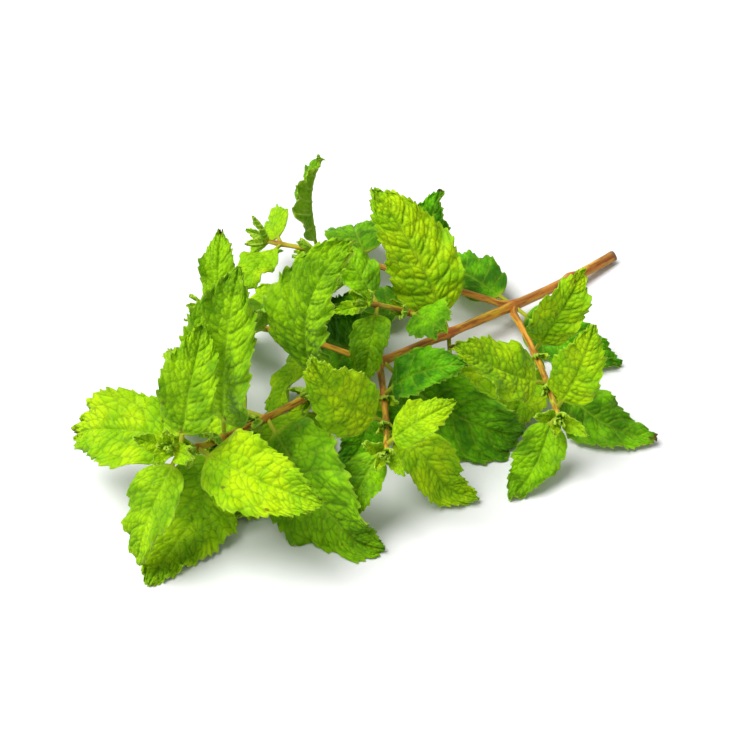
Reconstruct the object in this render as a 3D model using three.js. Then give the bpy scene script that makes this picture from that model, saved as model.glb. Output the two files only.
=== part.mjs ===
// A cut sprig of mint, lying on a flat surface.
//
// The sprig is one square-sectioned main stem with five side shoots in its leaf axils. Leaves stand
// in opposite pairs, each pair about a quarter turn on from the last, and every shoot ends in a bud
// of folded leaflets. Each stem, leaf and bud is its own closed solid, a small gap from the next.
//
// Millimetres, +Z up, the surface at z = 0. +X runs from the growing tip towards the cut end.
import * as THREE from 'three';

// ---- Driving dimensions ----

const ORIGIN = { x: 7.1, y: 7 }; // the middle of the sprig's footprint, in the growing frame
const GAP = 0.35; // between a stem and the leaf stalk, side shoot or bud that it bears

const STEM_STEP = 1; // length of one step along a stem
const STEM_SIDES = 8; // a square with its corners cut
const STEM_CORNER = 1.06; // of the radius, at the corners
const STEM_FLAT = 0.94; // of the radius, at the flats
const RING_SPACING = 8; // between rings where a stem is plain
const NODE_SWELL = 0.28; // extra radius where leaves join, as a share
const NODE_REACH = 2.4; // how far that swelling runs either way
const AXIL = 3; // how far a side shoot stands ahead of the leaf it grows with

const LEAF_STEPS = 120; // steps along a leaf's midrib
const BLADE_THICKNESS = 0.8; // along the midrib
const MARGIN_THICKNESS = 0.4;
const STALK_SHARE = 0.09; // of a leaf's length
const STALK_HALF_WIDTH = 0.65;
const TIP_HALF_WIDTH = 0.45;
const BLADE_PEAK = 0.38; // where along the blade it is broadest
const BLADE_FALL = 0.88; // how straight the outline runs to the tip: 1 is straight
const BLADE_OPENING = 0.2; // share of the length over which a folded stalk opens into the blade
const LEVELLING = 7; // height over the surface in which a falling leaf levels off
const LEAF_REST = 0.5; // height of a midrib that lies on the surface
const BLADE_STATIONS = [0, 0.09, 0.16, 0.28, 0.43, 0.58, 0.74, 0.89, 1]; // from stalk to tip
const BLADE_RAYS = [-1, -0.5, 0, 0.5, 1]; // from margin to margin

// A bud's length and its [share of length, width] rings, in radii of the shoot's tip.
const BUD_LENGTH = 13;
const BUD_PROFILE = [[0, 0.8], [0.12, 1.6], [0.38, 2.5], [0.7, 1.8], [1, 0.35]];
const BUD_SIDES = 8;
const BUD_FLATNESS = 0.85;

// Each shoot has where it starts, its route as [distance, heading, climb] stations in degrees, its
// radii, and its leaf pairs. A pair has its distance along the shoot, its roll round the shoot
// (0 is level to the right, 90 is up), its leaves' length, and their spread from the shoot's
// direction. Leaf a is on the roll's side and leaf b opposite, and either may have its own habit.
const MAIN = {
  name: 'main',
  start: [112, 4, 2.2],
  route: [[0, 184, 5], [45, 180, 8], [95, 176, 5], [140, 181, 4], [172, 190, 18], [206, 204, 52]],
  length: 197,
  radius: 1.9,
  tipRadius: 0.9,
  bareNodes: [22],
  pairs: [
    { at: 50, roll: 4, length: 42, spread: 88 },
    { at: 79, roll: 66, length: 50, spread: 82, a: { droop: 30, sway: -15 } },
    { at: 106, roll: -8, length: 54, spread: 76, a: { droop: 95 }, b: { droop: 120, sway: 0 } },
    { at: 131, roll: 84, length: 60, spread: 66, a: { sway: 28 } },
    { at: 153, roll: 2, length: 58, spread: 66, a: { droop: 95 }, b: { droop: 80 } },
    { at: 171, roll: 92, length: 54, spread: 70 },
    { at: 184, roll: 0, length: 46, spread: 74 },
    { at: 193, roll: 90, length: 34, spread: 68 },
  ],
};

// A side shoot has no start of its own: it grows from the main stem, at a distance and a roll.
const SHOOTS = [
  {
    name: 'left_base',
    from: 50,
    roll: 4,
    route: [[0, 128, 14], [35, 128, 14], [70, 132, 8], [95, 138, 20]],
    length: 78,
    radius: 1.2,
    tipRadius: 0.75,
    pairs: [
      { at: 24, roll: 80, length: 34, spread: 66 },
      { at: 45, roll: -6, length: 42, spread: 66, b: { droop: 20, sway: 25 } },
      { at: 62, roll: 84, length: 38, spread: 66 },
      { at: 74, roll: -4, length: 28, spread: 66 },
    ],
  },
  {
    name: 'right_base',
    from: 50,
    roll: 184,
    route: [[0, 242, 8], [35, 236, 8], [80, 226, 20]],
    length: 64,
    radius: 1.15,
    tipRadius: 0.75,
    pairs: [
      { at: 25, roll: 106, length: 33, spread: 66, b: { rest: 2 } },
      { at: 44, roll: 30, length: 38, spread: 66, a: { droop: 5, sway: 20 }, b: { rest: 1.5 } },
      { at: 60, roll: 112, length: 31, spread: 66 },
    ],
  },
  {
    name: 'left_middle',
    from: 106,
    roll: -8,
    route: [[0, 132, 24], [30, 136, 16], [60, 142, 24]],
    length: 52,
    radius: 1.05,
    tipRadius: 0.7,
    pairs: [
      { at: 18, roll: 55, length: 29, spread: 66 },
      { at: 34, roll: -35, length: 36, spread: 66, b: { droop: -10 } },
      { at: 48, roll: 58, length: 26, spread: 66 },
    ],
  },
  {
    name: 'right_middle',
    from: 106,
    roll: 172,
    route: [[0, 232, 14], [30, 230, 10], [60, 222, 22]],
    length: 52,
    radius: 1.05,
    tipRadius: 0.7,
    pairs: [
      { at: 18, roll: 125, length: 29, spread: 66, b: { rest: 0.6, sway: -20 } },
      { at: 34, roll: 35, length: 36, spread: 66, a: { droop: 0, sway: 35 } },
      { at: 48, roll: 128, length: 26, spread: 66 },
    ],
  },
  {
    name: 'upper',
    from: 79,
    roll: 66,
    route: [[0, 168, 48], [20, 172, 36], [45, 178, 26]],
    length: 35,
    radius: 1,
    tipRadius: 0.7,
    pairs: [
      { at: 16, roll: -20, length: 29, spread: 66, a: { droop: 30, sway: -15 }, b: { droop: 10 } },
      { at: 31, roll: 40, length: 24, spread: 66 },
    ],
  },
];

// ---- Small helpers ----

const rad = THREE.MathUtils.degToRad;
const clamp = THREE.MathUtils.clamp;

// A repeatable number from low to high, different for each whole number n.
function between(low, high, n) {
  const scattered = Math.sin(n * 12.9898 + 78.233) * 43758.5453;
  return low + (high - low) * (scattered - Math.floor(scattered));
}

// A closed body through rings of points. Each ring runs anticlockwise seen from the far end, and its
// first and second halves face each other, so that a strip between them closes each end. Facing
// quads are split along the same diagonal, which keeps a thin body as thick as its points make it.
function skin(rings) {
  const count = rings[0].length;
  const triangles = [];
  const quad = (a, b, c, d) => triangles.push(a, b, c, a, c, d);
  for (let ring = 0; ring < rings.length - 1; ring++) {
    const near = ring * count;
    for (let i = 0; i < count; i++) {
      const next = (i + 1) % count;
      const corners = [near + i, near + next, near + count + next, near + count + i];
      if (i >= count / 2) corners.push(corners.shift());
      quad(...corners);
    }
  }
  const last = (rings.length - 1) * count;
  for (let i = 0; i < count / 2 - 1; i++) {
    const facing = count - 1 - i;
    quad(facing, facing - 1, i + 1, i);
    quad(last + i, last + i + 1, last + facing - 1, last + facing);
  }
  const geometry = new THREE.BufferGeometry().setFromPoints(rings.flat());
  geometry.setIndex(triangles);
  geometry.computeVertexNormals();
  return geometry;
}

// ---- Stems ----

// Heading and climb at a distance, in straight steps between the route's stations.
function courseAt(route, distance) {
  const next = Math.max(1, route.findIndex(([at]) => at >= distance));
  const [at0, heading0, climb0] = route[next - 1];
  const [at1, heading1, climb1] = route[next];
  const share = (distance - at0) / (at1 - at0);
  return [rad(heading0 + (heading1 - heading0) * share), rad(climb0 + (climb1 - climb0) * share)];
}

// Frames along a shoot: its point, its direction, and the level and upright axes across it.
function walkShoot(shoot) {
  const frames = [];
  const point = shoot.start.clone();
  for (let step = 0; step * STEM_STEP <= shoot.length; step++) {
    const [heading, climb] = courseAt(shoot.route, step * STEM_STEP);
    const level = new THREE.Vector3(Math.sin(heading), -Math.cos(heading), 0);
    const ahead = new THREE.Vector3(Math.cos(heading), Math.sin(heading), 0)
      .multiplyScalar(Math.cos(climb))
      .setZ(Math.sin(climb));
    const upright = new THREE.Vector3().crossVectors(level, ahead);
    frames.push({ point: point.clone(), ahead, level, upright });
    point.addScaledVector(ahead, STEM_STEP);
  }
  return frames;
}

const frameAt = (frames, distance) => frames[Math.round(distance / STEM_STEP)];
const nodesOf = (shoot) => [...(shoot.bareNodes ?? []), ...shoot.pairs.map((pair) => pair.at)];

function radiusAt(shoot, distance) {
  const taper = shoot.radius + (shoot.tipRadius - shoot.radius) * (distance / shoot.length);
  const swell = nodesOf(shoot).map((at) => Math.exp(-(((distance - at) / NODE_REACH) ** 2)));
  return taper * (1 + NODE_SWELL * Math.max(...swell));
}

// Straight out of a shoot at a roll angle in degrees: 0 is its level axis, 90 its upright one.
function outward(frame, roll) {
  return new THREE.Vector3()
    .addScaledVector(frame.level, Math.cos(rad(roll)))
    .addScaledVector(frame.upright, Math.sin(rad(roll)));
}

// Distances of a stem's rings: three round each node, and even ones between.
function ringDistances(shoot) {
  const distances = new Set([0, shoot.length]);
  for (const at of nodesOf(shoot)) {
    for (const offset of [-AXIL, 0, AXIL]) distances.add(clamp(at + offset, 0, shoot.length));
  }
  for (let distance = RING_SPACING; distance < shoot.length; distance += RING_SPACING) {
    const clear = nodesOf(shoot).every((at) => Math.abs(at - distance) > 2 * AXIL - 1);
    if (clear) distances.add(distance);
  }
  return [...distances].sort((a, b) => a - b);
}

function stemGeometry(shoot, frames) {
  const rings = ringDistances(shoot).map((distance) => {
    const frame = frameAt(frames, distance);
    return Array.from({ length: STEM_SIDES }, (_, side) => {
      const reach = radiusAt(shoot, distance) * (side % 2 === 0 ? STEM_CORNER : STEM_FLAT);
      return frame.point.clone().addScaledVector(outward(frame, (-360 * side) / STEM_SIDES), reach);
    });
  });
  return skin(rings);
}

// ---- Leaves ----

// Half-width at a share of the leaf's length: a narrow stalk, then an egg shape to the tip.
function halfWidth(leaf, share) {
  if (share <= STALK_SHARE) return STALK_HALF_WIDTH;
  const along = (share - STALK_SHARE) / (1 - STALK_SHARE);
  const rise = (BLADE_FALL * BLADE_PEAK) / (1 - BLADE_PEAK);
  const egg = (x) => x ** rise * (1 - x) ** BLADE_FALL;
  const least = along < BLADE_PEAK ? STALK_HALF_WIDTH : TIP_HALF_WIDTH;
  return Math.max(least, (leaf.halfWidth * egg(along)) / egg(BLADE_PEAK));
}

const thicknessAt = (ray) => BLADE_THICKNESS + (MARGIN_THICKNESS - BLADE_THICKNESS) * ray * ray;

// Turns two square axes in their own plane, the first towards the second.
function turn(first, second, angle) {
  const turned = first.clone().multiplyScalar(Math.cos(angle)).addScaledVector(second, Math.sin(angle));
  second.multiplyScalar(Math.cos(angle)).addScaledVector(first, -Math.sin(angle));
  first.copy(turned);
}

// Walks the midrib. It droops away from its upper face, more so towards the tip, sways and twists,
// and where it comes down to what it lies on, it levels off and its face turns level.
function walkMidrib(leaf) {
  const point = leaf.base.clone();
  const ahead = leaf.ahead.clone();
  const face = leaf.face.clone();
  const across = new THREE.Vector3().crossVectors(ahead, face);
  const frames = [];
  for (let step = 0; step <= LEAF_STEPS; step++) {
    frames.push({ point: point.clone(), face: face.clone(), across: across.clone() });
    const share = (step + 0.5) / LEAF_STEPS;
    turn(ahead, face, (-rad(leaf.droop) * (0.4 + 1.2 * share)) / LEAF_STEPS);
    turn(ahead, across, rad(leaf.sway) / LEAF_STEPS);
    turn(face, across, rad(leaf.twist) / LEAF_STEPS);
    const height = Math.max(0, (point.z - leaf.rest - LEAF_REST) / LEVELLING);
    if (height < 1) {
      ahead.z = Math.max(ahead.z, -height);
      ahead.normalize();
      face.z += 0.06 * (1 - height) * (face.z < 0 ? -1 : 1);
      face.addScaledVector(ahead, -face.dot(ahead)).normalize();
      across.crossVectors(ahead, face);
    }
    point.addScaledVector(ahead, leaf.length / LEAF_STEPS);
  }
  return frames;
}

// A point of the blade. The ray runs from -1 at one margin to 1 at the other, and lift is the
// height over the blade's middle layer. The two halves fold up, curl back down and ruffle.
function bladePoint(leaf, frames, share, ray, lift) {
  const frame = frames[Math.round(share * LEAF_STEPS)];
  const width = halfWidth(leaf, share);
  const opening = clamp((share - STALK_SHARE) / BLADE_OPENING, 0, 1);
  const fold = rad(leaf.fold) * opening;
  const wave = Math.sin(2 * Math.PI * leaf.ruffles * share + leaf.phase + (ray < 0 ? 2 : 0));
  const ruffle = leaf.ruffle * leaf.length * Math.abs(ray) ** 1.5 * wave * Math.min(1, (1 - share) * 5);
  const folded = width * (Math.hypot(ray, 0.15) - 0.15) * Math.sin(fold);
  const curled = width * leaf.curl * ray * ray;
  return frame.point
    .clone()
    .addScaledVector(frame.across, ray * width * Math.cos(fold))
    .addScaledVector(frame.face, folded + (ruffle - curled) * opening + lift);
}

// Keeps the two faces of a blade above what it lies on, one on top of the other.
function liftOff(rest, first, second) {
  const [high, low] = first.z > second.z ? [first, second] : [second, first];
  low.z = Math.max(low.z, rest);
  high.z = Math.max(high.z, rest + MARGIN_THICKNESS);
}

function leafGeometry(leaf) {
  const frames = walkMidrib(leaf);
  const rings = BLADE_STATIONS.map((share) => {
    const layer = (side) =>
      BLADE_RAYS.map((ray) => bladePoint(leaf, frames, share, ray, (side * thicknessAt(ray)) / 2));
    const upper = layer(1);
    const lower = layer(-1);
    upper.forEach((point, i) => liftOff(leaf.rest, point, lower[i]));
    return [...upper, ...lower.reverse()];
  });
  return skin(rings);
}

// How one leaf faces, folds, curls and hangs. Leaves differ a little from each other.
function leafHabit(own, seed) {
  return {
    level: between(0.35, 0.9, seed + 1), // how far its face turns to the sky
    breadth: between(0.25, 0.3, seed + 2), // half-width, of its length
    droop: between(20, 75, seed + 3),
    sway: between(-18, 18, seed + 4),
    twist: between(-35, 35, seed + 5),
    fold: between(8, 30, seed + 6),
    curl: between(0.02, 0.22, seed + 7),
    ruffle: between(0.01, 0.035, seed + 8), // height of its margin's waves, of its length
    ruffles: between(2, 3.4, seed + 9), // waves along one margin
    phase: between(0, 6, seed + 10),
    rest: 0, // height of what it lies on
    ...own,
  };
}

function growLeaf(shoot, frames, pair, side, seed) {
  const frame = frameAt(frames, pair.at);
  const out = outward(frame, pair.roll + 180 * side);
  const ahead = frame.ahead.clone();
  const face = out.clone().negate();
  turn(ahead, face, -rad(pair.spread));
  const habit = leafHabit([pair.a, pair.b][side], seed);
  const sky = new THREE.Vector3(0, 0, 1).addScaledVector(ahead, -ahead.z);
  face.lerp(sky, habit.level);
  face.addScaledVector(ahead, -face.dot(ahead)).normalize();
  const length = pair.length * between(0.92, 1.06, seed);
  const reach = radiusAt(shoot, pair.at) * STEM_CORNER + GAP;
  const base = frame.point.clone().addScaledVector(out, reach);
  return { ...habit, base, ahead, face, length, halfWidth: length * habit.breadth };
}

// ---- Buds ----

function budGeometry(shoot, frames) {
  const tip = frameAt(frames, shoot.length);
  const rings = BUD_PROFILE.map(([share, width]) => {
    const ahead = GAP + share * BUD_LENGTH * shoot.tipRadius;
    const centre = tip.point.clone().addScaledVector(tip.ahead, ahead);
    return Array.from({ length: BUD_SIDES }, (_, side) => {
      const reach = shoot.tipRadius * width * (side % 2 === 0 ? 1 : BUD_FLATNESS);
      return centre.clone().addScaledVector(outward(tip, (-360 * side) / BUD_SIDES), reach);
    });
  });
  return skin(rings);
}

// ---- The sprig ----

const leafGreen = new THREE.MeshStandardMaterial({ color: 0x6fae1c, roughness: 0.6, metalness: 0 });
const budGreen = new THREE.MeshStandardMaterial({ color: 0x9ccb2c, roughness: 0.6, metalness: 0 });
const stemBrown = new THREE.MeshStandardMaterial({ color: 0xa8693a, roughness: 0.55, metalness: 0 });

const sprig = new THREE.Group();

function addNode(name, geometry, material) {
  const mesh = new THREE.Mesh(geometry, material);
  mesh.name = name;
  mesh.position.set(-ORIGIN.x, -ORIGIN.y, 0);
  sprig.add(mesh);
}

// Adds a shoot's stem, leaves and bud. Each leaf takes its own stretch of seeds.
function growShoot(shoot, seed) {
  const frames = walkShoot(shoot);
  addNode(`${shoot.name}_stem`, stemGeometry(shoot, frames), stemBrown);
  shoot.pairs.forEach((pair, index) => {
    for (const side of [0, 1]) {
      const leaf = growLeaf(shoot, frames, pair, side, seed + 40 * index + 20 * side);
      addNode(`${shoot.name}_leaf_${index + 1}${'ab'[side]}`, leafGeometry(leaf), leafGreen);
    }
  });
  addNode(`${shoot.name}_bud`, budGeometry(shoot, frames), budGreen);
  return frames;
}

const mainShoot = { ...MAIN, start: new THREE.Vector3(...MAIN.start) };
const mainFrames = growShoot(mainShoot, 1000);
SHOOTS.forEach((shoot, index) => {
  const frame = frameAt(mainFrames, shoot.from);
  const reach = radiusAt(mainShoot, shoot.from + AXIL) + shoot.radius + GAP;
  const start = frame.point
    .clone()
    .addScaledVector(frame.ahead, AXIL)
    .addScaledVector(outward(frame, shoot.roll), reach);
  growShoot({ ...shoot, start }, 2000 + 400 * index);
});

export default sprig;
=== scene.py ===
"""A cut sprig of mint, lying on a white surface.

The sprig is put together as it grew: the main stem, the side shoots, the leaves in opposite pairs,
then the buds at the tips. Shapes are worked out in millimetres, with +Z up and the surface at z = 0,
and become metres when they are made into meshes.
"""
import math

import bpy
import numpy as np
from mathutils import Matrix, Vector


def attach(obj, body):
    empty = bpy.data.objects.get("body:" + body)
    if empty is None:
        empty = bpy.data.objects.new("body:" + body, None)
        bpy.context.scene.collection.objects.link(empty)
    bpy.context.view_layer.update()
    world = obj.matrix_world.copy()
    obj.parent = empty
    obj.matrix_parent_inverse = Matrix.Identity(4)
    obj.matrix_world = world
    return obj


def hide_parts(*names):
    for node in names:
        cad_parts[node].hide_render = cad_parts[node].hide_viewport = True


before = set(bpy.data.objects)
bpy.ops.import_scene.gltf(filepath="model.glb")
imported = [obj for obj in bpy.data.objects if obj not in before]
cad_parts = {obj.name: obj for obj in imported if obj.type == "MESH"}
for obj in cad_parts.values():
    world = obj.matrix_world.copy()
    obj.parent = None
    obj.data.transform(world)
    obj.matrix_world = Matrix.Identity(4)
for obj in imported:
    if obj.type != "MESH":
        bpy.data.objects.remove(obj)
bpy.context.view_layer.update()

# ---- The main stem ----
# One stem of mint, square with rounded edges, that was cut straight across and bears all the rest.
# It is brown at the cut, then red-brown and orange, and olive at the growing tip. It swells into a
# joint wherever a pair of leaves grows.

ORIGIN = np.array([7.1, 7.0, 0.0])  # the middle of the sprig's footprint, before it is centred
MILLIMETRE = 0.001
NODE_SWELL = 0.28  # of the radius
NODE_REACH = 2.4

# A route has stations of [distance, heading, climb], in millimetres and degrees. A pair of leaves
# stands at a distance, rolled round the stem from level, its leaves spread from the stem's line.
# Under a and b, a leaf has habits of its own.
MAIN = dict(
    name="main",
    start=[112, 4, 2.2],
    route=[[0, 184, 5], [45, 180, 8], [95, 176, 5], [140, 181, 4], [172, 190, 18], [206, 204, 52]],
    length=197, radius=1.9, tip_radius=0.9, bare_nodes=[22],
    pairs=[
        dict(at=50, roll=4, length=42, spread=88),
        dict(at=79, roll=66, length=50, spread=82, a=dict(droop=30, sway=-15)),
        dict(at=106, roll=-8, length=54, spread=76, a=dict(droop=95), b=dict(droop=120, sway=0)),
        dict(at=131, roll=84, length=60, spread=66, a=dict(sway=28)),
        dict(at=153, roll=2, length=58, spread=66, a=dict(droop=95), b=dict(droop=80)),
        dict(at=171, roll=92, length=54, spread=70),
        dict(at=184, roll=0, length=46, spread=74),
        dict(at=193, roll=90, length=34, spread=68),
    ],
)


def unit(vectors):
    """Each vector divided by its own length."""
    return vectors / np.linalg.norm(vectors, axis=-1, keepdims=True)


def bell(value, width):
    """A bell curve: e to the power of -(value / width)^2."""
    return np.exp(-((value / width) ** 2))


def walk_stem(stem):
    """The stem's centre line in steps of one millimetre. Heading and climb run in straight steps
    between the route's stations, and each step moves the point along them. Returns the points, the
    directions, and the two axes across: level to the right, and upright."""
    distance = np.arange(int(stem["length"]) + 1)
    at, heading, climb = np.array(stem["route"], dtype=float).T
    heading = np.radians(np.interp(distance, at, heading))
    climb = np.radians(np.interp(distance, at, climb))
    ahead = np.stack([
        np.cos(climb) * np.cos(heading), np.cos(climb) * np.sin(heading), np.sin(climb),
    ], -1)
    level = np.stack([np.sin(heading), -np.cos(heading), 0 * heading], -1)
    upright = np.cross(level, ahead)
    points = np.array(stem["start"]) + np.concatenate([np.zeros((1, 3)), np.cumsum(ahead[:-1], axis=0)])
    return dict(points=points, ahead=ahead, level=level, upright=upright)


def along_walk(vectors, steps):
    """The vectors of a walk after any number of steps, in straight lines between whole ones."""
    whole_steps = np.arange(len(vectors))
    return np.stack([np.interp(steps, whole_steps, vectors[:, axis]) for axis in range(3)], -1)


def stem_nodes(stem):
    """The distances of a stem's nodes: those whose leaves are gone, then those with leaves."""
    return np.array(stem.get("bare_nodes", []) + [pair["at"] for pair in stem["pairs"]], dtype=float)


def stem_radius(stem, distance):
    """The radius runs straight from base to tip, and swells as a bell curve round each node."""
    distance = np.asarray(distance, dtype=float)
    taper = stem["radius"] + (stem["tip_radius"] - stem["radius"]) * distance / stem["length"]
    swell = bell(distance[..., None] - stem_nodes(stem), NODE_REACH).max(-1)
    return taper * (1 + NODE_SWELL * swell)


def outward(walk, distance, roll):
    """The direction straight out of a stem at a whole distance: cos(roll) level + sin(roll) upright."""
    roll = math.radians(roll)
    return math.cos(roll) * walk["level"][distance] + math.sin(roll) * walk["upright"][distance]


def with_ends(field):
    """The values at each point of the rings, then the mean of the first ring and of the last."""
    return np.concatenate([field.reshape(-1, 3), [field[0].mean(0), field[-1].mean(0)]])


def closed_shell(rings, marks):
    """A closed skin over rings of points. Neighbouring rings are joined by quads, and each end is
    closed by a fan from the ring to its middle point. The marks follow the points."""
    count, around = rings.shape[:2]
    grid = np.arange(count * around).reshape(count, around)
    onward = np.roll(grid, -1, axis=1)
    quads = np.stack([grid[:-1], onward[:-1], onward[1:], grid[1:]], -1).reshape(-1, 4)
    start = np.stack([onward[0], grid[0], np.full(around, count * around)], -1)
    end = np.stack([grid[-1], onward[-1], np.full(around, count * around + 1)], -1)
    return dict(
        points=with_ends(rings),
        loops=np.concatenate([quads.ravel(), start.ravel(), end.ravel()]),
        sides=np.concatenate([np.full(len(quads), 4), np.full(2 * around, 3)]),
        marks={key: with_ends(value) for key, value in marks.items()},
    )


SHARP_ANGLE = math.radians(75)


def make_piece(name, shells, material):
    """One smooth-shaded object from closed shells, its marks kept as three-part point attributes."""
    points = np.concatenate([shell["points"] for shell in shells])
    firsts = np.cumsum([0] + [len(shell["points"]) for shell in shells[:-1]])
    loops = np.concatenate([shell["loops"] + first for shell, first in zip(shells, firsts)])
    sides = np.concatenate([shell["sides"] for shell in shells])
    mesh = bpy.data.meshes.new(name)
    mesh.vertices.add(len(points))
    mesh.vertices.foreach_set("co", ((points - ORIGIN) * MILLIMETRE).astype(np.float32).ravel())
    mesh.loops.add(len(loops))
    mesh.loops.foreach_set("vertex_index", loops.astype(np.int32))
    mesh.polygons.add(len(sides))
    mesh.polygons.foreach_set("loop_start", (np.cumsum(sides) - sides).astype(np.int32))
    mesh.update(calc_edges=True)
    for key in shells[0]["marks"]:
        values = np.concatenate([shell["marks"][key] for shell in shells]).astype(np.float32)
        mesh.attributes.new(key, "FLOAT_VECTOR", "POINT").data.foreach_set("vector", values.ravel())
    mesh.shade_smooth()
    mesh.set_sharp_from_angle(angle=SHARP_ANGLE)
    mesh.materials.append(material)
    piece = bpy.data.objects.new(name, mesh)
    bpy.context.scene.collection.objects.link(piece)
    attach(piece, "root")
    return piece


RING_SPACING = 0.3
STEM_SIDES = 48
EDGE_RISE, EDGE_SHARPNESS = 0.06, 0.012  # of the radius
NODE_LINE_HEIGHT, NODE_LINE_WIDTH = 0.07, 0.3
SCAR_HEIGHT, SCAR_LENGTH, SCAR_ANGLE = 0.32, 0.9, 0.55
FOOT_FLARE = 0.25
CUT_RINGS = np.array([0.25, 0.5, 0.72, 0.88, 0.97])  # shares of the radius, across the cut end
CUT_DEPTHS = np.array([0.22, 0.2, 0.12, 0.02, 0.0])  # the cut end is a shallow dish
NODE_FLUSH_REACH = 2.2
FAR_FROM_NODES = 9.0
DRIED_REACH = 1.3
GRAIN_STRETCH = 0.16  # the stripes are about six times as long as they are wide
GRAIN_SHIFT = 17  # times the radius, so that stems of different sizes have different stripes


def stem_scars(stem, distance, angle):
    """1 in the middle of each scar of a bare node, falling off as a bell curve along and round the
    stem. Two face each other."""
    scars = np.zeros((len(distance), len(angle)))
    for at in stem.get("bare_nodes", []):
        for middle in (0, -np.pi):
            off_middle = np.angle(np.exp(1j * (angle - middle)))
            scars += bell(distance[:, None] - at, SCAR_LENGTH) * bell(off_middle, SCAR_ANGLE)
    return scars


def stem_shell(stem, walk, oldest, youngest):
    """The skin of a stem. Its radius at angle t is the stem's, times 1 + 0.06 cos 4t + 0.012 cos 8t, a
    square with rounded edges, and it wanders along the stem as two small sines. Round each node runs
    a thin raised line, and a scar is a ridge round a hollow. The first rings widen across the cut end.
    A side shoot has a foot: rings on a straight line back into the stem that bears it, widening as
    the square of the distance."""
    foot = np.array(stem.get("foot", stem["start"])) - stem["start"]
    foot_length = np.linalg.norm(foot)
    foot_scale = max(foot_length, 1)
    ring_distance = np.arange(-foot_length, stem["length"] + 0.01, RING_SPACING)
    angle = np.linspace(0, -2 * np.pi, STEM_SIDES, endpoint=False)
    to_node = np.abs(ring_distance[:, None] - stem_nodes(stem)).min(1)

    square = 1 + EDGE_RISE * np.cos(4 * angle) + EDGE_SHARPNESS * np.cos(8 * angle)
    wander = 0.02 * np.sin(0.31 * ring_distance + 1.0) + 0.012 * np.sin(0.83 * ring_distance + stem["radius"])
    flare = 1 + FOOT_FLARE * np.clip(-ring_distance / foot_scale, 0, 1) ** 2
    node_line = NODE_LINE_HEIGHT * bell(to_node, NODE_LINE_WIDTH)
    scars = stem_scars(stem, ring_distance, angle)
    radius = (stem_radius(stem, ring_distance) * flare * (1 + wander))[:, None] * square + node_line[:, None]
    radius = radius + SCAR_HEIGHT * scars * (1 - 0.75 * scars)
    radius = np.concatenate([CUT_RINGS[:, None] * radius[0], radius])
    distance = np.concatenate([CUT_DEPTHS - foot_length, ring_distance])
    points, level, upright = (along_walk(walk[key], distance) for key in ("points", "level", "upright"))
    points = points + foot * np.clip(-distance / foot_scale, 0, 1)[:, None]
    right, up = radius * np.cos(angle), radius * np.sin(angle)
    rings = points[:, None] + right[..., None] * level[:, None] + up[..., None] * upright[:, None]

    # Marks for the material. The cut mark falls from the pith to the rim, and is 0 along the stem.
    whole = np.ones_like(radius)
    cut = np.concatenate([1.0 - 0.5 * CUT_RINGS, [0.35], np.zeros(len(ring_distance) - 1)])[:, None] * whole
    to_node = np.concatenate([np.full(len(CUT_RINGS), FAR_FROM_NODES), to_node])
    near_node = bell(to_node, NODE_FLUSH_REACH)[:, None] * whole
    age = np.interp(distance / stem["length"], [0, 1], [oldest, youngest])[:, None] * whole
    scars = np.concatenate([np.zeros((len(CUT_RINGS), STEM_SIDES)), scars])
    dried = bell(distance, DRIED_REACH)[:, None] * whole * (foot_length == 0)
    # The edge mark is 1 along the four rounded edges, where the material paints a highlight.
    edge = (0.5 + 0.5 * np.cos(4 * angle)) * whole
    grain = np.stack([right, up, GRAIN_STRETCH * distance[:, None] * whole], -1)
    return closed_shell(rings, dict(
        stem_grain=grain + GRAIN_SHIFT * stem["radius"],
        stem_marks=np.stack([age, near_node, cut], -1),
        stem_edges=np.stack([edge, scars, dried], -1),
    ))


def add(tree, kind, inputs, **settings):
    """A shader node of a kind. An input takes a link from a socket, or else a value of its own."""
    made = tree.nodes.new("ShaderNode" + kind)
    for key, value in settings.items():
        setattr(made, key, value)
    for key, value in inputs.items():
        if isinstance(value, bpy.types.NodeSocket):
            tree.links.new(value, made.inputs[key])
        else:
            made.inputs[key].default_value = value
    return made


def mixed(tree, share, first, second):
    """The first colour where the share is 0, and the second where it is 1. The two colours are
    sockets 6 and 7 of a Mix node, and its colour result is socket 2."""
    colours = {6: first, 7: second}
    for key, value in colours.items():
        if isinstance(value, tuple):
            colours[key] = (*value, 1.0)
    return add(tree, "Mix", {0: share, **colours}, data_type="RGBA").outputs[2]


def layered(tree, colour, layers):
    """A colour with others laid over it in turn, each by its own share."""
    for share, tone in layers:
        colour = mixed(tree, share, colour, tone)
    return colour


def ramped(tree, value, low, high):
    """A smooth step: 0 below low, 1 above high."""
    inputs = {"Value": value, "From Min": low, "From Max": high}
    return add(tree, "MapRange", inputs, interpolation_type="SMOOTHSTEP").outputs["Result"]


def times(tree, first, second):
    """The product of two values."""
    return add(tree, "Math", {0: first, 1: second}, operation="MULTIPLY").outputs[0]


def vector_attribute(tree, name):
    """The socket of a three-part point attribute."""
    return add(tree, "Attribute", {}, attribute_name=name).outputs["Vector"]


def parts(tree, name):
    """The three parts of a point attribute."""
    return add(tree, "SeparateXYZ", {"Vector": vector_attribute(tree, name)}).outputs


def noise(tree, place, scale, detail=3.0):
    """Soft noise over a place, in patches of about one over the scale."""
    return add(tree, "TexNoise", {"Vector": place, "Scale": scale, "Detail": detail}).outputs["Fac"]


def new_material(name):
    """An empty material and its node tree."""
    material = bpy.data.materials.new(name)
    material.use_nodes = True
    material.node_tree.nodes.clear()
    return material, material.node_tree


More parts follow.
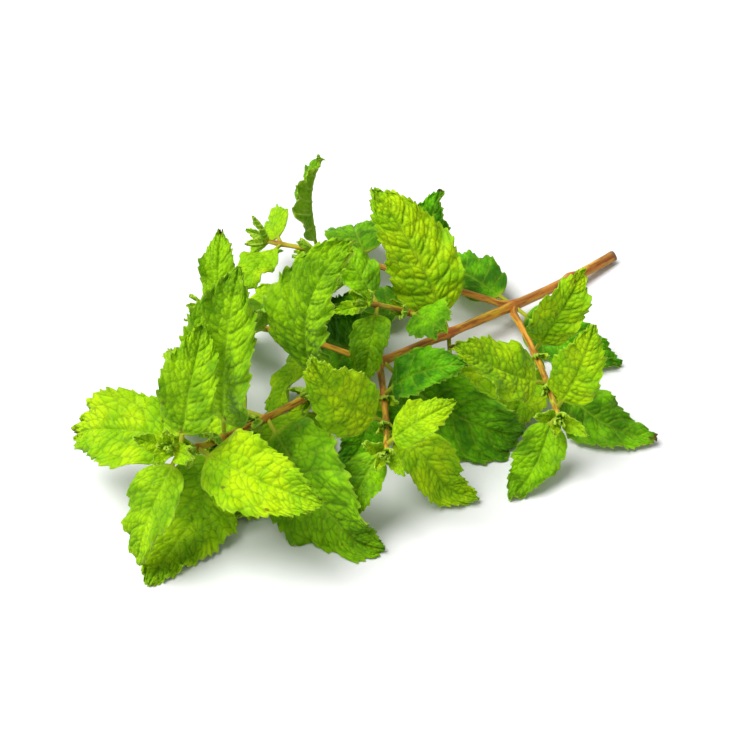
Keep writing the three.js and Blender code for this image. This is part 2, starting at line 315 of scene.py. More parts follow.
BROWN, RED_BROWN = (0.34, 0.110, 0.014), (0.52, 0.175, 0.018)
ORANGE_BROWN, OLIVE = (0.58, 0.28, 0.020), (0.48, 0.50, 0.02)
# The pale edge colour is a painted highlight along the stem's rounded edges.
OLIVE_PATCH, PAINTED_EDGE_HIGHLIGHT = (0.56, 0.38, 0.012), (0.78, 0.44, 0.09)
DARK_STRIPE, DARK_STREAK = (0.21, 0.052, 0.010), (0.16, 0.048, 0.008)
NODE_RED, CORK = (0.34, 0.065, 0.015), (0.17, 0.10, 0.05)
DRIED_GREY, CUT_RIM, PITH = (0.115, 0.075, 0.050), (0.14, 0.085, 0.050), (0.46, 0.38, 0.22)


def stem_skin():
    """Brown to orange to olive along the stem, redder round the nodes and paler along the edges, where a
    highlight is painted, with dark lengthwise stripes and streaks, a dried grey rim and pale pith at
    the cut, and corky scars."""
    material, tree = new_material("mint_stem_skin")
    grain = vector_attribute(tree, "stem_grain")
    age, near_node, cut = parts(tree, "stem_marks")
    edge, scar, dried = parts(tree, "stem_edges")
    streaks = noise(tree, grain, 1.3, 6.0)
    stripes = noise(tree, grain, 0.75, 2.0)
    patches = noise(tree, grain, 0.4)
    pith = mixed(tree, ramped(tree, cut, 0.45, 0.75), CUT_RIM, PITH)
    colour = layered(tree, BROWN, [
        (ramped(tree, age, 0.0, 0.35), RED_BROWN),
        (ramped(tree, age, 0.3, 0.8), ORANGE_BROWN),
        (ramped(tree, age, 0.75, 1.05), OLIVE),
        (times(tree, ramped(tree, patches, 0.45, 0.6), 0.8), OLIVE_PATCH),
        (times(tree, ramped(tree, stripes, 0.47, 0.6), 0.8), DARK_STRIPE),
        # Painted highlight: the rounded edges are made paler.
        (times(tree, edge, 0.35), PAINTED_EDGE_HIGHLIGHT),
        (times(tree, ramped(tree, streaks, 0.5, 0.7), 0.6), DARK_STREAK),
        (times(tree, near_node, 0.6), NODE_RED),
        (ramped(tree, scar, 0.3, 0.7), CORK),
        (times(tree, dried, 0.85), DRIED_GREY),
        (ramped(tree, cut, 0.2, 0.4), pith),
    ])
    bumps = add(tree, "Bump", {"Height": streaks, "Strength": 0.5, "Distance": 0.0003})
    rough = add(tree, "MapRange", {"Value": streaks, "To Min": 0.36, "To Max": 0.58}).outputs["Result"]
    skin = add(tree, "BsdfPrincipled", {
        "Base Color": colour, "Roughness": rough, "Normal": bumps.outputs["Normal"],
        "Specular IOR Level": 0.25,
    })
    add(tree, "OutputMaterial", {"Surface": skin.outputs["BSDF"]})
    return material


stem_material = stem_skin()
main_walk = walk_stem(MAIN)
main_skin = stem_shell(MAIN, main_walk, oldest=0.0, youngest=1.05)
main_stem = make_piece("main_stem_skin", [main_skin], stem_material)
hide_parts("main_stem")

# ---- The side shoots ----
# Thinner stems of the same kind. Each grows out of the main stem in the axil of a leaf, and its foot
# runs into the stem there. They are younger, so they are more orange and end in olive.

GAP = 0.35  # between a stem and what it bears
AXIL = 3  # how far a side shoot stands ahead of the leaf it grows with
FOOT_DEPTH = 0.4  # where the foot begins, as a share of the main stem's radius

SHOOTS = [
    dict(
        name="left_base", origin=50, roll=4, length=78, radius=1.2, tip_radius=0.75,
        route=[[0, 128, 14], [35, 128, 14], [70, 132, 8], [95, 138, 20]],
        pairs=[
            dict(at=24, roll=80, length=34, spread=66),
            dict(at=45, roll=-6, length=42, spread=66, b=dict(droop=20, sway=25)),
            dict(at=62, roll=84, length=38, spread=66),
            dict(at=74, roll=-4, length=28, spread=66),
        ],
    ),
    dict(
        name="right_base", origin=50, roll=184, length=64, radius=1.15, tip_radius=0.75,
        route=[[0, 242, 8], [35, 236, 8], [80, 226, 20]],
        pairs=[
            dict(at=25, roll=106, length=33, spread=66, b=dict(rest=2)),
            dict(at=44, roll=30, length=38, spread=66, a=dict(droop=5, sway=20), b=dict(rest=1.5)),
            dict(at=60, roll=112, length=31, spread=66),
        ],
    ),
    dict(
        name="left_middle", origin=106, roll=-8, length=52, radius=1.05, tip_radius=0.7,
        route=[[0, 132, 24], [30, 136, 16], [60, 142, 24]],
        pairs=[
            dict(at=18, roll=55, length=29, spread=66),
            dict(at=34, roll=-35, length=36, spread=66, b=dict(droop=-10)),
            dict(at=48, roll=58, length=26, spread=66),
        ],
    ),
    dict(
        name="right_middle", origin=106, roll=172, length=52, radius=1.05, tip_radius=0.7,
        route=[[0, 232, 14], [30, 230, 10], [60, 222, 22]],
        pairs=[
            dict(at=18, roll=125, length=29, spread=66, b=dict(rest=0.6, sway=-20)),
            dict(at=34, roll=35, length=36, spread=66, a=dict(droop=0, sway=35)),
            dict(at=48, roll=128, length=26, spread=66),
        ],
    ),
    dict(
        name="upper", origin=79, roll=66, length=35, radius=1, tip_radius=0.7,
        route=[[0, 168, 48], [20, 172, 36], [45, 178, 26]],
        pairs=[
            dict(at=16, roll=-20, length=29, spread=66, a=dict(droop=30, sway=-15), b=dict(droop=10)),
            dict(at=31, roll=40, length=24, spread=66),
        ],
    ),
]

walks = {"main": main_walk}
for shoot in SHOOTS:
    name, origin = shoot["name"], shoot["origin"]
    out = outward(main_walk, origin, shoot["roll"])
    reach = stem_radius(MAIN, origin + AXIL) + shoot["radius"] + GAP
    shoot["start"] = main_walk["points"][origin] + AXIL * main_walk["ahead"][origin] + reach * out
    shoot["foot"] = main_walk["points"][origin] + FOOT_DEPTH * MAIN["radius"] * out
    walks[name] = walk_stem(shoot)
    skin = stem_shell(shoot, walks[name], oldest=0.45, youngest=1.1)
    stem = make_piece(f"{name}_stem_skin", [skin], stem_material)
    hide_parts(f"{name}_stem")

# ---- The leaves ----
# Each leaf is a thin blade on a short stalk that grows from a node. It is egg-shaped with a toothed
# edge, and quilted: its midrib, side veins and the net between them are sunk into the upper face and
# stand out below. Light shines through it. Older leaves are a deeper green, and a few have brown edges.

LEAF_STEPS = 120
STALK_SHARE = 0.09  # of the leaf's length
STALK_HALF_WIDTH = 0.65
TIP_HALF_WIDTH = 0.45
BLADE_PEAK = 0.38  # where the blade is widest
BLADE_FALL = 0.88
EARLY_DROOP, DROOP_GROWTH = 0.4, 1.2
LEVELLING = 7  # the height below which a leaf begins to level off
RIGHTING = 0.06  # how fast its face turns level there
LEAF_REST = 0.5  # the height of a midrib over what it lies on


def between(low, high, n):
    """A repeatable number from low to high for each whole number n: the digits of sin(n) far behind
    the point."""
    scattered = math.sin(n * 12.9898 + 78.233) * 43758.5453
    return low + (high - low) * (scattered - math.floor(scattered))


def step_up(low, high, value):
    """A smooth step from 0 at low to 1 at high, 3t^2 - 2t^3. It steps down if high is the lower."""
    t = np.clip((value - low) / (high - low), 0, 1)
    return t * t * (3 - 2 * t)


def turn(first, second, angle):
    """Turns two square axes in their own plane, the first towards the second."""
    c, s = math.cos(angle), math.sin(angle)
    return c * first + s * second, c * second - s * first


def walk_midrib(leaf):
    """The midrib in even steps. It droops away from its upper face, more so towards the tip, sways
    and twists. Near what it lies on, its fall is held to its height, so that it levels off, and its
    face turns level. Returns points, face axes and across axes, one row for each step."""
    point, ahead, face = leaf["base"].copy(), leaf["ahead"].copy(), leaf["face"].copy()
    across = np.cross(ahead, face)
    rows = []
    for step in range(LEAF_STEPS + 1):
        rows.append([point, face, across])
        share = (step + 0.5) / LEAF_STEPS
        droop = math.radians(leaf["droop"]) * (EARLY_DROOP + DROOP_GROWTH * share)
        ahead, face = turn(ahead, face, -droop / LEAF_STEPS)
        ahead, across = turn(ahead, across, math.radians(leaf["sway"]) / LEAF_STEPS)
        face, across = turn(face, across, math.radians(leaf["twist"]) / LEAF_STEPS)
        height = max(0.0, (point[2] - leaf["rest"] - LEAF_REST) / LEVELLING)
        if height < 1:
            ahead = unit(np.array([ahead[0], ahead[1], max(ahead[2], -height)]))
            upwards = -1 if face[2] < 0 else 1
            face = face + np.array([0, 0, RIGHTING * (1 - height) * upwards])
            face = unit(face - ahead * face.dot(ahead))
            across = np.cross(ahead, face)
        point = point + ahead * leaf["length"] / LEAF_STEPS
    return np.array(rows).transpose(1, 0, 2)


def half_width(leaf, share):
    """A stalk of one width, then x^r (1 - x)^f scaled to 1 at its peak, and a blunt tip."""
    x = np.clip((share - STALK_SHARE) / (1 - STALK_SHARE), 0, 1)
    rise = BLADE_FALL * BLADE_PEAK / (1 - BLADE_PEAK)
    egg = x**rise * (1 - x) ** BLADE_FALL / (BLADE_PEAK**rise * (1 - BLADE_PEAK) ** BLADE_FALL)
    least = np.where(x < BLADE_PEAK, STALK_HALF_WIDTH, TIP_HALF_WIDTH)
    return np.maximum(least, leaf["half_width"] * egg)


GRID = 0.33  # between points of a blade
FEWEST_ROWS, FEWEST_COLUMNS = 18, 6  # columns on each side of the midrib
STALK_ROWS = 9
STALK_ROOT = 0.9  # how far behind its base a stalk begins, inside its stem
DETAIL_LENGTH = 50  # the length of a leaf whose details have the sizes given here
VEIN_LEAN = 0.85
TOOTH_PITCH, TOOTH_DEPTH, TOOTH_LEAN = 2.6, 0.95, 0.8
TOOTH_PEAK = 0.74  # where a tooth's point stands along it
LEFT_TOOTH_SHIFT = 0.35  # teeth and side veins on the left are out of step with the right


def blade_grid(leaf):
    """A grid of u from stalk to tip and v from edge to edge, in which a point lies `share` of the way
    along the leaf and `ray` of the half width w off its midrib. Details grow as the square root of the
    leaf's length, by `size`.

    Lines of even u lean forward to the edge, share = u + 0.85 |v|^1.2 u (1 - u), as side veins do.
    Near the edge, the width is cut back by a saw-tooth of u, whose points lean forward, and is drawn
    in and out by two sines of u, which makes lobes.
    """
    length = leaf["length"]
    size = (length / DETAIL_LENGTH) ** 0.5
    rows = max(FEWEST_ROWS, int(length * (1 - STALK_SHARE) / GRID))
    columns = 2 * max(FEWEST_COLUMNS, int(leaf["half_width"] / GRID)) + 1
    u_rows = np.concatenate([np.zeros(STALK_ROWS), np.linspace(0, 1, rows)[1:]])
    u, v = np.meshgrid(u_rows, np.linspace(-1, 1, columns), indexing="ij")
    off_middle, left = np.abs(v), v < 0
    share = STALK_SHARE + (1 - STALK_SHARE) * (u + VEIN_LEAN * off_middle**1.2 * u * (1 - u))
    share[:STALK_ROWS] = np.linspace(-STALK_ROOT / length, STALK_SHARE, STALK_ROWS)[:, None]
    w = half_width(leaf, share)

    teeth = round(length / TOOTH_PITCH) + 2
    in_tooth = (u * teeth + LEFT_TOOTH_SHIFT * left) % 1
    tooth = np.where(in_tooth < TOOTH_PEAK, in_tooth / TOOTH_PEAK, (1 - in_tooth) / (1 - TOOTH_PEAK))
    toothed = step_up(0.8, 1.0, off_middle) * step_up(0.05, 0.16, u) * step_up(1.0, 0.93, u)
    uneven = 0.65 + 0.8 * np.sin(2.1 * u * teeth + leaf["phase"] + 2 * left) ** 2
    cut_back = np.minimum(TOOTH_DEPTH * size * uneven * toothed * (1 - tooth), 0.45 * w)
    lobes = 0.06 * np.sin(14 * u + 3 * leaf["phase"] + 2.4 * left)
    lobes = lobes + 0.03 * np.sin(33 * u + 5 * leaf["phase"])
    ray = v * (1 - cut_back / w) * (1 + lobes * v**2 * toothed)
    share = np.minimum(share + toothed * tooth * TOOTH_LEAN * size / length, 1.0)
    return dict(u=u, v=v, share=share, ray=ray, w=w, size=size, teeth=teeth)


SIDE_VEIN_PITCH, FEWEST_SIDE_VEINS = 6, 5
LEFT_VEIN_SHIFT = 0.4
SIDE_VEIN_WIDTH, MIDRIB_WIDTH = 0.42, 0.5
CELL_BANDS = 3  # to a side vein
CELL_WIDTH, FEWEST_CELLS = 4.2, 3
CELL_SCATTER = 0.38
NET_WIDTH, PUFF_WIDTH = 0.6, 1.4


def blade_veins(leaf, grid, seed):
    """Where the veins run, from 0 to 1. A side vein is a bell curve round each whole value of
    u^0.92 times their number, and the midrib is a wider one round the middle. Between them, cell
    centres stand in three bands to a side vein, each a little out of place. The net runs where the
    second nearest centre is as near as the nearest, and `puff` rises from it to the cells' middles."""
    scatter = np.random.default_rng(seed)
    u, v, w, size = grid["u"], grid["v"], grid["w"], grid["size"]
    off_middle, left = np.abs(v), v < 0
    side_veins = max(FEWEST_SIDE_VEINS, round(leaf["length"] / SIDE_VEIN_PITCH))
    vein_count = u**0.92 * (side_veins + 0.6) + LEFT_VEIN_SHIFT * left
    spacing = leaf["length"] * (1 - STALK_SHARE) / (side_veins + 0.6)
    off_vein = np.abs(vein_count - np.round(vein_count)) * spacing
    side_vein = bell(off_vein, SIDE_VEIN_WIDTH * size * (1.15 - 0.5 * off_middle))
    side_vein = side_vein * step_up(0.02, 0.08, u) * step_up(1.0, 0.9, off_middle)
    midrib = bell(grid["ray"] * w, MIDRIB_WIDTH * size * (1.25 - 0.75 * grid["share"]))
    midrib = midrib * step_up(1.0, 0.9, u)

    cells = max(FEWEST_CELLS, round(leaf["half_width"] / CELL_WIDTH))
    band, column = vein_count * CELL_BANDS, off_middle * cells
    shifts = scatter.uniform(-CELL_SCATTER, CELL_SCATTER, (2, CELL_BANDS * side_veins + 9, cells + 5, 2))
    nearest = np.full(u.shape, 99.0)
    second = nearest
    for band_step in (-1, 0, 1):
        for column_step in (-1, 0, 1):
            i = np.floor(band).astype(int) + band_step
            j = np.floor(column).astype(int) + column_step
            shift = shifts[left.astype(int), i + 2, j + 2]
            apart = np.hypot(
                (i + 0.5 + shift[..., 0] - band) * spacing / CELL_BANDS,
                (j + 0.5 + shift[..., 1] - column) * w / cells,
            )
            second = np.minimum(second, np.maximum(nearest, apart))
            nearest = np.minimum(nearest, apart)
    net = 1 - step_up(0.0, NET_WIDTH * size, second - nearest)
    puff = step_up(0.0, PUFF_WIDTH * size, second - nearest)
    return dict(side=side_vein, midrib=midrib, net=net, puff=puff, count=vein_count)


BLADE_OPENING = 0.2  # the share over which a blade opens from its stalk
CREASE = 0.15  # how round the fold along the midrib is
FRILL, CRUMPLE, SWELL, PUFF = 1.0, 0.9, 0.5, 0.4  # heights on a leaf of the detail length
VEIN_DEPTH, MIDRIB_DEPTH = 0.25, 0.35


def blade_height(leaf, grid, veins):
    """How high a blade stands over its flat middle layer. It is folded up along the midrib, curled
    down towards the edges, waved along them by three sines, and quilted between sunken veins."""
    u, v, share, ray, w, size = (grid[key] for key in ("u", "v", "share", "ray", "w", "size"))
    off_middle, left, phase = np.abs(v), v < 0, leaf["phase"]
    opening = np.clip((share - STALK_SHARE) / BLADE_OPENING, 0, 1)
    folded = w * (np.hypot(ray, CREASE) - CREASE) * np.sin(math.radians(leaf["fold"]) * opening)
    curled = w * leaf["curl"] * ray**2
    wave = np.sin(2 * np.pi * leaf["ruffles"] * share + phase + 2.0 * left)
    ruffle = leaf["ruffle"] * leaf["length"] * off_middle**1.5 * wave * np.minimum(1, (1 - share) * 5)
    frill = FRILL * size * np.sin(2 * np.pi * u * grid["teeth"] / 3.4 + 3 * phase + 1.0 * left)
    frill = frill * step_up(0.45, 1, off_middle)
    crumple = CRUMPLE * size * np.sin(11 * u + 2.2 * v + 1.7 * phase) * off_middle**0.7
    swell = SWELL * (1 - veins["side"]) * np.abs(np.sin(np.pi * veins["count"])) ** 0.8
    quilt = (swell + PUFF * veins["puff"] - VEIN_DEPTH * veins["side"]) * (1 - 0.7 * off_middle**6)
    quilt = size * (quilt * step_up(0.0, 0.12, off_middle) - MIDRIB_DEPTH * veins["midrib"])
    return folded + (ruffle + frill + crumple - curled) * opening + quilt * step_up(0.0, 0.07, u)


BLADE_THICKNESS = 0.3
MIDRIB_RIB, SIDE_RIB, NET_RIB = 0.62, 0.26, 0.1  # how far each stands out below
STALK_EDGE, STALK_ABOVE, STALK_BELOW = 0.12, 0.42, 0.5
EASE = 0.5


def ease_down(height, least):
    """Heights kept above the least one. Within EASE of it, z becomes least + EASE e^((z - least) / EASE
    - 1), so that folds pressed onto the surface keep their order."""
    eased = least + EASE * np.exp(np.minimum(height - least, EASE) / EASE - 1)
    return np.where(height > least + EASE, height, eased)


def both_faces(upper, lower):
    """Rings that run across the upper face and back across the lower one."""
    return np.concatenate([upper, lower[:, ::-1]], axis=1)


def blade_shell(leaf, seed):
    """The skin of one leaf. Its grid is laid along the midrib's walk, and stands off its middle layer
    by half the thickness on each side, with ribs below and a round stalk: the stalk's half thickness
    goes as the square root of 1 - v^2. Where it meets the surface, both faces are eased onto it."""
    grid = blade_grid(leaf)
    veins = blade_veins(leaf, grid, seed)
    height = blade_height(leaf, grid, veins)
    u, v, share, ray, w, size = (grid[key] for key in ("u", "v", "share", "ray", "w", "size"))
    opening = np.clip((share - STALK_SHARE) / BLADE_OPENING, 0, 1)
    across_blade = ray * w * np.cos(math.radians(leaf["fold"]) * opening)
    stalk = 1 - step_up(STALK_SHARE * 0.8, STALK_SHARE * 1.5, share)
    roundness = np.sqrt(np.clip(1 - v**2, 0, 1))
    ribs = MIDRIB_RIB * (1.2 - share) * veins["midrib"] + SIDE_RIB * veins["side"] + NET_RIB * veins["net"]
    above = BLADE_THICKNESS / 2 * (1 - stalk) + (STALK_EDGE + STALK_ABOVE * roundness) * stalk
    below = (BLADE_THICKNESS / 2 + size * ribs) * (1 - stalk) + (STALK_EDGE + STALK_BELOW * roundness) * stalk

    steps = np.clip(share, 0, 1) * LEAF_STEPS
    points, face, across = (along_walk(vectors, steps) for vectors in walk_midrib(leaf))
    points = points + leaf["ahead"] * np.minimum(share, 0)[..., None] * leaf["length"]
    middle = points + across * across_blade[..., None]
    top = middle + face * (height + above)[..., None]
    bottom = middle + face * (height - below)[..., None]
    face_up = top[..., 2] > bottom[..., 2]
    top[..., 2] = ease_down(top[..., 2], leaf["rest"] + BLADE_THICKNESS * face_up)
    bottom[..., 2] = ease_down(bottom[..., 2], leaf["rest"] + BLADE_THICKNESS * (1 - face_up))

    # Marks for the material. The edge is marked as a vein too, which paints a paler highlight
    # along the rim.
    quilted = step_up(0.0, 0.07, u)
    vein = np.clip(np.maximum(veins["midrib"], 0.75 * veins["side"]) * (0.4 + 0.6 * quilted), 0, 1)
    vein = np.maximum(vein, 0.8 * step_up(0.92, 1.0, np.abs(v)) * (1 - stalk))
    brown = leaf["browning"] * (0.75 * np.abs(v) ** 6 * step_up(0.35, 1.0, u) + step_up(0.86, 1.0, u))
    brown = np.clip(brown, 0, 1)
    place = np.stack([share * leaf["length"], ray * w, np.full_like(u, 40.0 * between(0, 1, seed))], -1)
    marks_above = np.stack([vein, np.ones_like(u), brown], -1)
    marks_below = np.stack([vein, np.zeros_like(u), brown], -1)
    # The net mark darkens the upper face as painted shade in its furrows, and makes the lower face paler.
    tones = np.stack([np.full_like(u, leaf["youth"]), stalk, veins["net"] * quilted * (1 - stalk)], -1)
    return closed_shell(both_faces(top, bottom), dict(
        blade_place=both_faces(place, place),
        blade_marks=both_faces(marks_above, marks_below),
        blade_tones=both_faces(tones, tones),
    ))


HABIT = dict(
    level=(0.35, 0.9),  # how far its face turns up to the sky
    breadth=(0.25, 0.3),  # its half width, as a share of its length
    droop=(20, 75),  # in degrees, like sway, twist and fold
    sway=(-18, 18),
    twist=(-35, 35),
    fold=(8, 30),
    curl=(0.02, 0.22),  # of its half width
    ruffle=(0.01, 0.035),  # of its length
    ruffles=(2, 3.4),  # waves along an edge
    phase=(0, 6),  # where waves, teeth and lobes begin
    youth=(0, 1),  # squared later, so that most leaves are old
    browning=(-1.6, 1.0),  # none below 0
)
MOST_YOUTH = 0.85


def grow_leaf(stem, pair, side, seed):
    """One leaf of a pair: where it joins its stem, which way it points and faces, and its habit. Each
    habit is a number within its range. Leaves near the tip are younger, by the square of how far up
    they grow."""
    walk, at = walks[stem["name"]], pair["at"]
    out = outward(walk, at, pair["roll"] + 180 * side)
    ahead, face = turn(walk["ahead"][at], -out, -math.radians(pair["spread"]))
    leaf = {key: between(*HABIT[key], seed + 1 + number) for number, key in enumerate(HABIT)}
    leaf["rest"] = 0
    leaf.update(pair.get("ab"[side], {}))
    leaf["youth"] = min(MOST_YOUTH, 0.35 * (at / stem["length"]) ** 2 + leaf["youth"] ** 2)
    leaf["browning"] = max(0.0, leaf["browning"])
    sky = np.array([0, 0, 1.0]) - ahead * ahead[2]
    face = face + (sky - face) * leaf["level"]
    face = unit(face - ahead * face.dot(ahead))
    length = pair["length"] * between(0.92, 1.06, seed)
    reach = stem_radius(stem, at) * 1.06 + GAP
    leaf.update(
        base=walk["points"][at] + out * reach, ahead=ahead, face=face,
        length=length, half_width=length * leaf["breadth"],
    )
    return leaf


OLD_SHADE, YOUNG_SHADE = (0.022, 0.150, 0.002), (0.36, 0.70, 0.003)
OLD_BRIGHT, YOUNG_BRIGHT = (0.15, 0.53, 0.003), (0.64, 0.87, 0.003)
# The dark net colour is painted shade for the furrows of the upper face.
# The vein colours of both faces also paint a highlight along the rim.
MOTTLE, PAINTED_FURROW_SHADE, PALE_VEIN_AND_RIM_HIGHLIGHT_ABOVE = (0.03, 0.13, 0.004), (0.016, 0.12, 0.002), (0.38, 0.58, 0.03)
PALE_SHADE, PALE_BRIGHT = (0.22, 0.48, 0.010), (0.42, 0.68, 0.015)
RAISED_NET, PALE_VEIN_AND_RIM_HIGHLIGHT_BELOW = (0.54, 0.76, 0.05), (0.66, 0.80, 0.14)
STALK_GREEN, SPOT_BROWN, EDGE_BROWN = (0.46, 0.50, 0.03), (0.20, 0.13, 0.015), (0.13, 0.065, 0.015)
LIGHT_THROUGH = (0.34, 0.78, 0.004)


def leaf_material():
    """Upper face: mottled green from deep to bright, with painted shade in the furrows of the net, paler
    veins, and a painted highlight along the rim. Lower face: paler, with the net and the veins paler
    still, and the same painted highlight along the rim. The stalk is yellow-green, a few spots are
    brown, and so are browned edges, in patches. Part of the light goes through the blade."""
    material, tree = new_material("mint_leaf_blade")
    place = vector_attribute(tree, "blade_place")
    vein, upper, brown = parts(tree, "blade_marks")
    youth, stalk, net = parts(tree, "blade_tones")
    broad = noise(tree, place, 0.11)
    fine = noise(tree, place, 0.9, 5.0)
    spots = ramped(tree, noise(tree, place, 0.36, 1.0), 0.76, 0.785)
    patchy = add(tree, "MapRange", {
        "Value": fine, "From Min": 0.3, "From Max": 0.7, "To Min": 0.5, "To Max": 1.6,
    }).outputs["Result"]
    shade = mixed(tree, youth, OLD_SHADE, YOUNG_SHADE)
    bright = mixed(tree, youth, OLD_BRIGHT, YOUNG_BRIGHT)
    above = layered(tree, shade, [
        (ramped(tree, broad, 0.35, 0.65), bright),
        (times(tree, ramped(tree, fine, 0.5, 0.75), 0.3), MOTTLE),
        # Painted shade: the furrows of the net are darkened.
        (times(tree, net, 0.45), PAINTED_FURROW_SHADE),
        # Pale veins, and a painted highlight along the rim.
        (times(tree, vein, 0.4), PALE_VEIN_AND_RIM_HIGHLIGHT_ABOVE),
    ])
    below = layered(tree, PALE_SHADE, [
        (ramped(tree, broad, 0.3, 0.7), PALE_BRIGHT),
        (times(tree, net, 0.5), RAISED_NET),
        # Paler veins, and a painted highlight along the rim.
        (times(tree, vein, 0.8), PALE_VEIN_AND_RIM_HIGHLIGHT_BELOW),
    ])
    colour = layered(tree, below, [
        (upper, above),
        (stalk, STALK_GREEN),
        (times(tree, spots, 0.75), SPOT_BROWN),
        (ramped(tree, times(tree, brown, patchy), 0.3, 0.75), EDGE_BROWN),
    ])
    cells = add(tree, "TexVoronoi", {"Vector": place, "Scale": 0.85}, feature="DISTANCE_TO_EDGE")
    creases = ramped(tree, cells.outputs["Distance"], 0.0, 0.22)
    crinkle = add(tree, "Bump", {"Height": creases, "Strength": 0.35, "Distance": 0.0002})
    down = add(tree, "Bump", {
        "Height": fine, "Strength": 0.25, "Distance": 0.0001, "Normal": crinkle.outputs["Normal"],
    })
    rough = add(tree, "MapRange", {"Value": fine, "To Min": 0.46, "To Max": 0.68}).outputs["Result"]
    blade = add(tree, "BsdfPrincipled", {
        "Base Color": colour, "Roughness": rough, "Normal": down.outputs["Normal"],
        "Specular IOR Level": 0.1, "Sheen Weight": 0.02, "Sheen Roughness": 0.5,
    })
    glow = mixed(tree, 0.4, colour, LIGHT_THROUGH)
    through = add(tree, "BsdfTranslucent", {"Color": glow, "Normal": down.outputs["Normal"]})
    surface = add(tree, "MixShader", {0: 0.22, 1: blade.outputs["BSDF"], 2: through.outputs["BSDF"]})
    add(tree, "OutputMaterial", {"Surface": surface.outputs["Shader"]})
    return material


STEMS = [MAIN, *SHOOTS]
FIRST_SEEDS = [1000, 2000, 2400, 2800, 3200, 3600]  # each leaf's seeds are 20 on from the last

leaf_skin = leaf_material()
for stem, first_seed in zip(STEMS, FIRST_SEEDS):
    for pair_index, pair in enumerate(stem["pairs"]):
        for side in (0, 1):
            seed = first_seed + 40 * pair_index + 20 * side
            leaf = grow_leaf(stem, pair, side, seed)
            name = f"{stem['name']}_leaf_{pair_index + 1}{'ab'[side]}"
            blade = make_piece(f"{name}_blade", [blade_shell(leaf, seed)], leaf_skin)
            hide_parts(name)

# ---- The buds ----
# At each growing tip, the youngest leaflets stand round each other in crossed pairs, and a few more
# grow in the axils of the older leaves. Each is a small folded blade whose foot is in its stem.

LEAFLET = dict(sway=0, twist=0, fold=26, curl=0.0, ruffle=0.01, ruffles=2, rest=0, youth=0.85, browning=0.0)
LEAFLET_BREADTH = 0.27
LEAFLET_FOOT = 0.4  # out from the stem's centre line
BUD_RINGS = [(1.0, 64), (0.72, 44), (0.48, 26), (0.3, 10)]  # each pair's size, and its spread in degrees
BUD_LENGTH = 14  # of the largest leaflets, times the stem's tip radius
AXIL_LEAFLETS = [(0.7, 46, 1.0), (-0.7, 40, 0.85), (0.1, 28, 0.6)]  # lean to the side, spread, size
FIRST_BARE_AXIL = 110  # below this distance, the main stem has side shoots in its axils


def leaflet(walk, at, out, spread, lift, length, droop, seed):
    """One small blade that leans out from a stem, its upper face towards the stem's own line."""
    ahead, face = turn(walk["ahead"][at], -out, -math.radians(spread))
    base = walk["points"][at] + lift * walk["ahead"][at] + LEAFLET_FOOT * out
    return blade_shell(dict(
        LEAFLET, base=base, ahead=ahead, face=face, droop=droop, phase=seed % 6,
        length=length, half_width=LEAFLET_BREADTH * length,
    ), seed)


def bud_leaflets(stem, seed):
    """Four crossed pairs of leaflets, each pair shorter and more upright than the one outside it."""
    walk, tip = walks[stem["name"]], stem["length"]
    for ring, (size, spread) in enumerate(BUD_RINGS):
        for side in (0, 1):
            out = outward(walk, tip, stem["pairs"][-1]["roll"] + 90 * (ring + 1) + 180 * side)
            number = seed + 5 * ring + side
            length = BUD_LENGTH * stem["tip_radius"] * size * between(0.88, 1.12, number)
            yield leaflet(walk, tip, out, spread, 0.5 * ring, length, -35, number)


def axil_leaflets(stem, pair, seed):
    """Three leaflets in each axil of a leaf pair: one leans to each side of the leaf's stalk, and the
    smallest stands between them."""
    walk, at = walks[stem["name"]], pair["at"]
    for side in (0, 1):
        out = outward(walk, at, pair["roll"] + 180 * side)
        sideways = outward(walk, at, pair["roll"] + 180 * side + 90)
        for index, (lean, spread, size) in enumerate(AXIL_LEAFLETS):
            number = seed + index + 5 * side
            length = (0.1 * pair["length"] + 3.2) * size * between(0.85, 1.2, number)
            lift = stem_radius(stem, at) * 1.1
            yield leaflet(walk, at, unit(out + lean * sideways), spread, lift, length, -30, number)


for stem_index, stem in enumerate(STEMS):
    bud_shells = list(bud_leaflets(stem, 5000 + 40 * stem_index))
    bud = make_piece(f"{stem['name']}_bud_leaflets", bud_shells, leaf_skin)
    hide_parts(f"{stem['name']}_bud")
    bare_axils = [pair for pair in stem["pairs"][:-1] if stem is not MAIN or pair["at"] > FIRST_BARE_AXIL]
    axil_shells = [
        shell
        for pair_index, pair in enumerate(bare_axils)
        for shell in axil_leaflets(stem, pair, 6000 + 200 * stem_index + 20 * pair_index)
    ]
    make_piece(f"{stem['name']}_axil_leaflets", axil_shells, leaf_skin)

# ---- The surface, the light and the camera ----
# A wide white sheet of paper in a white room, under soft light from above and the left. The camera
# stands to one side of the sprig and looks down on it, its cut end far right and its tip near left.

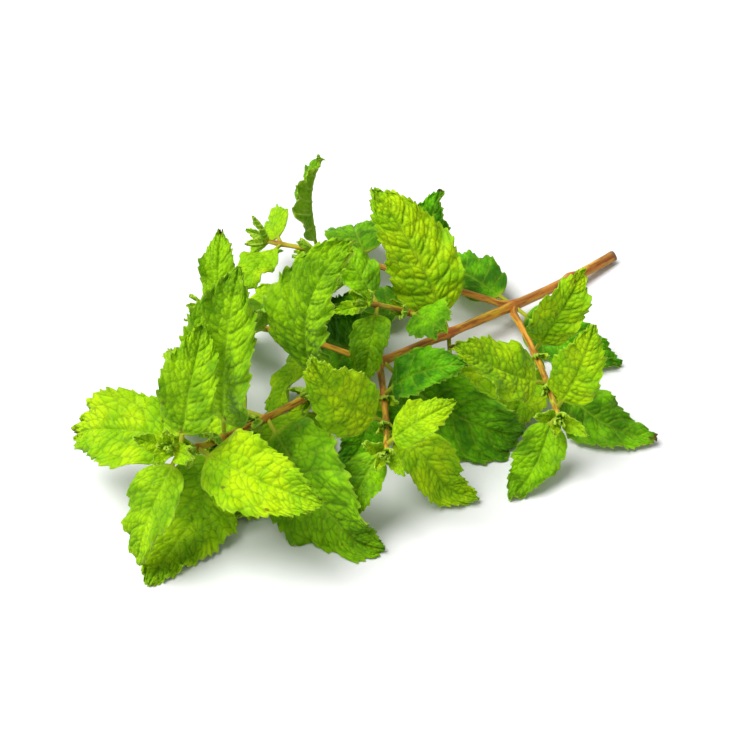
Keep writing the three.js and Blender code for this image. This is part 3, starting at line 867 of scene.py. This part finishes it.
PAPER_REACH = 3  # metres, as are all sizes from here on
PAPER_WHITE = (0.80, 0.80, 0.80, 1.0)
SUN_STRENGTH, SUN_ANGLE = 4.1, math.radians(42)
SUN_WAY = Vector((0.42, -0.22, -0.9))
ROOM_LIGHT = 0.40

floor_mesh = bpy.data.meshes.new("paper")
corners = [(x * PAPER_REACH, y * PAPER_REACH, 0) for x, y in ((-1, -1), (1, -1), (1, 1), (-1, 1))]
floor_mesh.from_pydata(corners, [], [(0, 1, 2, 3)])
floor = bpy.data.objects.new("paper", floor_mesh)
bpy.context.scene.collection.objects.link(floor)
paper, paper_tree = new_material("white_paper")
sheet = add(paper_tree, "BsdfPrincipled", {"Base Color": PAPER_WHITE, "Roughness": 0.9})
add(paper_tree, "OutputMaterial", {"Surface": sheet.outputs["BSDF"]})
floor_mesh.materials.append(paper)

sun = bpy.data.lights.new("overhead_left", "SUN")
sun.energy = SUN_STRENGTH
sun.angle = SUN_ANGLE
lamp = bpy.data.objects.new("overhead_left", sun)
lamp.rotation_euler = SUN_WAY.to_track_quat("-Z", "Y").to_euler()
bpy.context.scene.collection.objects.link(lamp)

world = bpy.data.worlds.new("white_room")
bpy.context.scene.world = world
world.use_nodes = True
world.node_tree.nodes["Background"].inputs["Color"].default_value = (1, 1, 1, 1)
world.node_tree.nodes["Background"].inputs["Strength"].default_value = ROOM_LIGHT

AIM = Vector((-0.004, 0.0, 0.012))
AZIMUTH, ELEVATION, CAMERA_DISTANCE = math.radians(-42), math.radians(40), 0.62
LENS, SENSOR_WIDTH = 98, 36  # millimetres

camera_data = bpy.data.cameras.new("camera")
camera_data.lens = LENS
camera_data.sensor_width = SENSOR_WIDTH
camera = bpy.data.objects.new("camera", camera_data)
back = Vector((
    math.sin(AZIMUTH) * math.cos(ELEVATION), -math.cos(AZIMUTH) * math.cos(ELEVATION), math.sin(ELEVATION),
))
camera.location = AIM + back * CAMERA_DISTANCE
camera.rotation_euler = (-back).to_track_quat("-Z", "Y").to_euler()
bpy.context.scene.collection.objects.link(camera)
bpy.context.scene.camera = camera
bpy.context.scene.view_settings.view_transform = "Standard"
